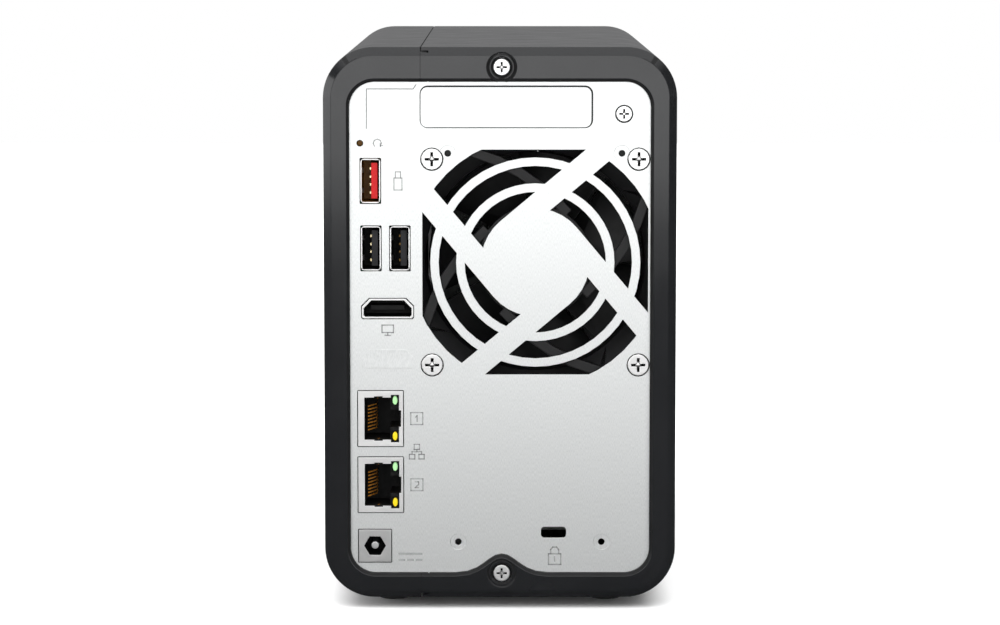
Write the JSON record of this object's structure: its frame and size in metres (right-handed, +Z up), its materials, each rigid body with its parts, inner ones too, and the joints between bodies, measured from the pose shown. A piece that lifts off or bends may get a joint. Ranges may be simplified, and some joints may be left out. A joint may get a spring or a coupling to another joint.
{
  "type": "network attached storage",
  "caption": "Compact upright storage box: black two-shell case, recessed brushed rear panel with a fan grille and sockets, slide-out drive trays.",
  "frame": {"origin": "on the ground, under the middle of the case", "axes": "+Z up, -Y out of the rear socket panel, +Y out of the front drive trays, +X to the right for someone who faces the rear panel"},
  "size_m": [0.105, 0.226, 0.168],
  "materials": {
    "case_plastic": "semi-gloss black moulded plastic, fine grain",
    "front_plastic": "satin black moulded plastic",
    "tray_plastic": "satin black moulded plastic",
    "foot_rubber": "matte black rubber",
    "brushed_panel": "upright brushed grain",
    "inner_sheet_steel": "plain zinc-coated sheet",
    "screw_steel": "bright nickel plate",
    "fan_plastic": "black glass-filled plastic",
    "circuit_board": "green solder mask",
    "heat_sink_aluminium": "natural extruded aluminium",
    "socket_steel": "bright tin plate",
    "black_insulator": "black moulded nylon",
    "red_insulator": "red moulded nylon",
    "drive_casting": "cast aluminium with a steel lid",
    "clear_lens": "clear light pipe",
    "lead_jacket": "black sleeve"
  },
  "bodies": {
    "body": {"case_shell_left": "case_plastic", "case_shell_right": "case_plastic", "front_fascia": "front_plastic", "foot_rear_left": "foot_rubber", "foot_rear_right": "foot_rubber", "foot_front_left": "foot_rubber", "foot_front_right": "foot_rubber", "rear_panel": "brushed_panel", "board_bracket": "inner_sheet_steel", "cage_side_left": "inner_sheet_steel", "cage_side_right": "inner_sheet_steel", "cage_top": "inner_sheet_steel", "cage_bottom": "inner_sheet_steel", "case_screw_top": "screw_steel", "case_screw_bottom": "screw_steel", "panel_screw": "screw_steel", "fan_screw_1": "screw_steel", "fan_screw_2": "screw_steel", "fan_screw_3": "screw_steel", "fan_screw_4": "screw_steel", "fan_frame": "fan_plastic", "main_board": "circuit_board", "memory_module": "circuit_board", "backplane_board": "circuit_board", "front_board": "circuit_board", "heat_sink": "heat_sink_aluminium", "usb_fast_port_shell": "socket_steel", "usb_port_1_shell": "socket_steel", "usb_port_2_shell": "socket_steel", "usb_front_port_shell": "socket_steel", "video_port_shell": "socket_steel", "lan_jack_1_shield": "socket_steel", "lan_jack_2_shield": "socket_steel", "power_jack_body": "socket_steel", "power_jack_pin": "screw_steel", "usb_port_1_tongue": "black_insulator", "usb_port_2_tongue": "black_insulator", "video_port_tongue": "black_insulator", "lan_jack_1_insert": "black_insulator", "lan_jack_2_insert": "black_insulator", "usb_fast_port_tongue": "red_insulator", "usb_front_port_tongue": "red_insulator", "status_light_bar": "clear_lens", "fan_lead": "lead_jacket"},
    "fan": {"fan_rotor": "fan_plastic"},
    "reset": {"reset_button": "black_insulator"},
    "power": {"power_button": "front_plastic"},
    "copy": {"copy_button": "front_plastic"},
    "tray_1": {"tray_1_frame": "tray_plastic", "tray_1_bezel": "front_plastic", "drive_1": "drive_casting"},
    "tray_1_handle": {"tray_1_lever": "front_plastic"},
    "tray_1_latch": {"tray_1_release": "front_plastic"},
    "tray_2": {"tray_2_frame": "tray_plastic", "tray_2_bezel": "front_plastic", "drive_2": "drive_casting"},
    "tray_2_handle": {"tray_2_lever": "front_plastic"},
    "tray_2_latch": {"tray_2_release": "front_plastic"}
  },
  "joints": [
    {"name": "fan_spin", "type": "hinge", "parent": "body", "child": "fan", "pos_m": [0.0105, -0.096, 0.104], "axis": [0, 1, 0], "continuous": true},
    {"name": "reset_press", "type": "slide", "parent": "body", "child": "reset", "axis": [0, 1, 0], "range_m": [0, 0.0005], "stiffness_N_per_m": 400},
    {"name": "power_press", "type": "slide", "parent": "body", "child": "power", "axis": [0, -1, 0], "range_m": [0, 0.001], "stiffness_N_per_m": 800},
    {"name": "copy_press", "type": "slide", "parent": "body", "child": "copy", "axis": [0, -1, 0], "range_m": [0, 0.001], "stiffness_N_per_m": 800},
    {"name": "tray_1_slide", "type": "slide", "parent": "body", "child": "tray_1", "axis": [0, 1, 0], "range_m": [0, 0.175]},
    {"name": "tray_1_lever_swing", "type": "hinge", "parent": "tray_1", "child": "tray_1_handle", "pos_m": [-0.00385, 0.1065, 0.03], "axis": [-1, 0, 0], "range_deg": [0, 70]},
    {"name": "tray_1_release_press", "type": "slide", "parent": "tray_1", "child": "tray_1_latch", "axis": [0, -1, 0], "range_m": [0, 0.0015], "stiffness_N_per_m": 500},
    {"name": "tray_2_slide", "type": "slide", "parent": "body", "child": "tray_2", "axis": [0, 1, 0], "range_m": [0, 0.175]},
    {"name": "tray_2_lever_swing", "type": "hinge", "parent": "tray_2", "child": "tray_2_handle", "pos_m": [0.03065, 0.1065, 0.03], "axis": [-1, 0, 0], "range_deg": [0, 70]},
    {"name": "tray_2_release_press", "type": "slide", "parent": "tray_2", "child": "tray_2_latch", "axis": [0, -1, 0], "range_m": [0, 0.0015], "stiffness_N_per_m": 500}
  ]
}
